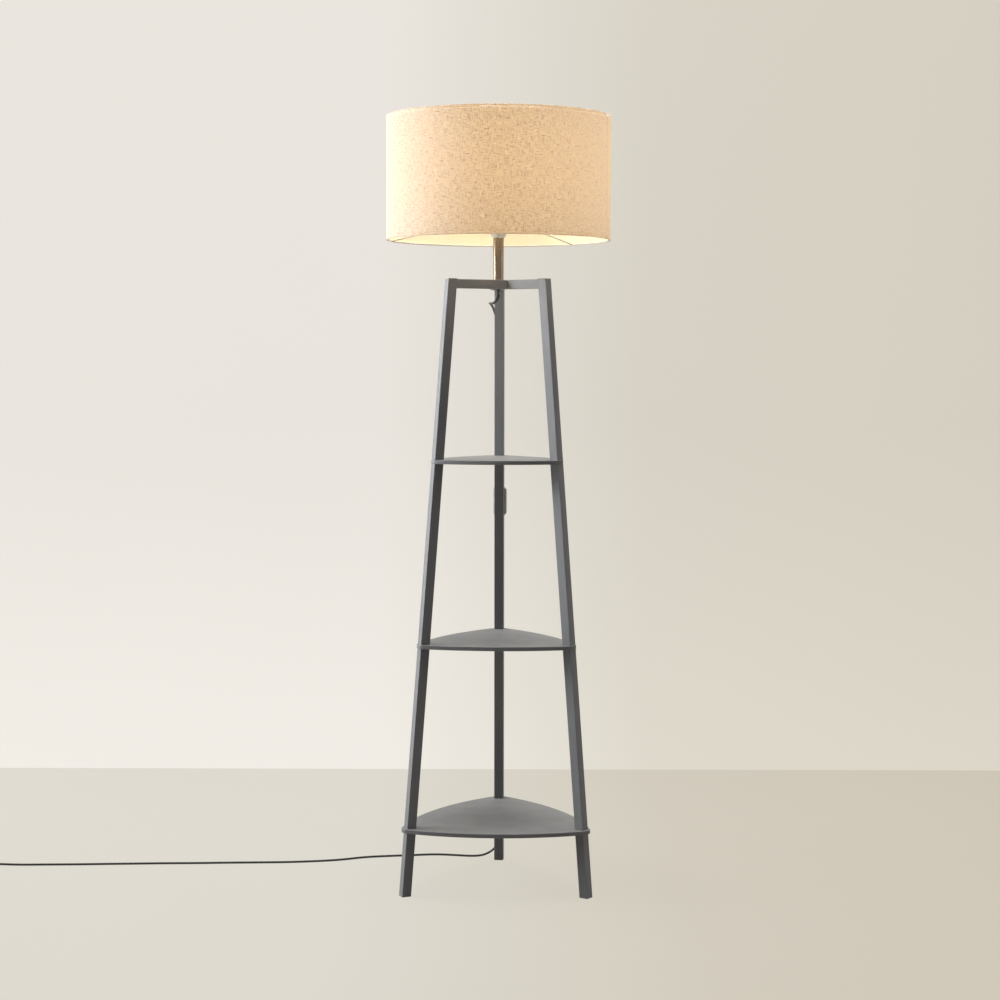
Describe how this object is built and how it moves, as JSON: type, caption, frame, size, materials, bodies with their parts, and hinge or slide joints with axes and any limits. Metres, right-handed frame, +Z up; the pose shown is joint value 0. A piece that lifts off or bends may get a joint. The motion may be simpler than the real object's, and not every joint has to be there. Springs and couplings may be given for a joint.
{
  "type": "shelf floor lamp",
  "caption": "Floor lamp with leaning square legs that carry bowed triangular shelves, a fabric drum shade on a short metal stem and a mains cord with an in-line rocker switch",
  "frame": {"origin": "on the floor, on the upright axis of the shade and stem", "axes": "+Z up; +Y towards the back leg, behind which the cord runs; the left and right legs stand at 210 and 330 degrees from +X"},
  "size_m": [1.3782, 0.4641, 1.5502],
  "materials": {
    "frame_paint": "satin warm grey paint on solid wood",
    "shelf_board": "satin warm grey painted board",
    "steel": "zinc plated",
    "dowel_wood": "plain beech",
    "stem_nickel": "brushed nickel plate",
    "white_plastic": "glossy white",
    "black_plastic": "matt black",
    "clip_foam": "white foam tape",
    "brass": "plain brass",
    "bulb_metal": "bright plated metal",
    "bulb_glass": "frosted white",
    "linen": "natural linen weave",
    "liner_film": "cream film",
    "carrier_paint": "white coated wire",
    "cord_jacket": "matt black"
  },
  "bodies": {
    "lamp": {"left_foot": "frame_paint", "left_lower_leg": "frame_paint", "left_middle_leg": "frame_paint", "left_upper_leg": "frame_paint", "right_foot": "frame_paint", "right_lower_leg": "frame_paint", "right_middle_leg": "frame_paint", "right_upper_leg": "frame_paint", "back_foot": "frame_paint", "back_lower_leg": "frame_paint", "back_middle_leg": "frame_paint", "back_upper_leg": "frame_paint", "left_top_bar": "frame_paint", "right_top_bar": "frame_paint", "back_top_bar": "frame_paint", "bottom_shelf": "shelf_board", "middle_shelf": "shelf_board", "top_shelf": "shelf_board", "bottom_shelf_studs": "steel", "middle_shelf_studs": "steel", "top_shelf_studs": "steel", "threaded_rod": "steel", "lock_washer": "steel", "lock_nut": "steel", "switch_screws": "steel", "bar_dowels": "dowel_wood", "stem_tube": "stem_nickel", "lampholder_skirt": "white_plastic", "lampholder_body": "white_plastic", "shade_clamp_ring": "white_plastic", "switch_front_half": "white_plastic", "switch_rear_half": "white_plastic", "centring_rings": "white_plastic", "cord_bushing": "black_plastic", "cord_sleeve": "black_plastic", "locking_screw": "black_plastic", "terminal_block": "black_plastic", "cord_clips": "black_plastic", "coil_tie": "black_plastic", "plug_body": "black_plastic", "plug_relief": "black_plastic", "clip_pads": "clip_foam", "centre_contact": "brass", "switch_contacts": "brass", "screw_shell": "bulb_metal", "bulb_cap": "bulb_metal", "plug_pins": "bulb_metal", "bulb_glass": "bulb_glass", "shade_fabric": "linen", "shade_bottom_hem": "linen", "shade_top_hem": "linen", "shade_liner": "liner_film", "shade_top_ring": "carrier_paint", "shade_carrier": "carrier_paint", "upper_cord": "cord_jacket", "lower_cord": "cord_jacket", "floor_cord": "cord_jacket", "cord_coil": "cord_jacket"},
    "rocker": {"switch_rocker": "white_plastic"}
  },
  "joints": [
    {"name": "switch_rock", "type": "hinge", "parent": "lamp", "child": "rocker", "pos_m": [0.00201, 0.16648, 0.77385], "axis": [-0.996, 0.0894, 0.0074], "range_deg": [0, 16]}
  ]
}
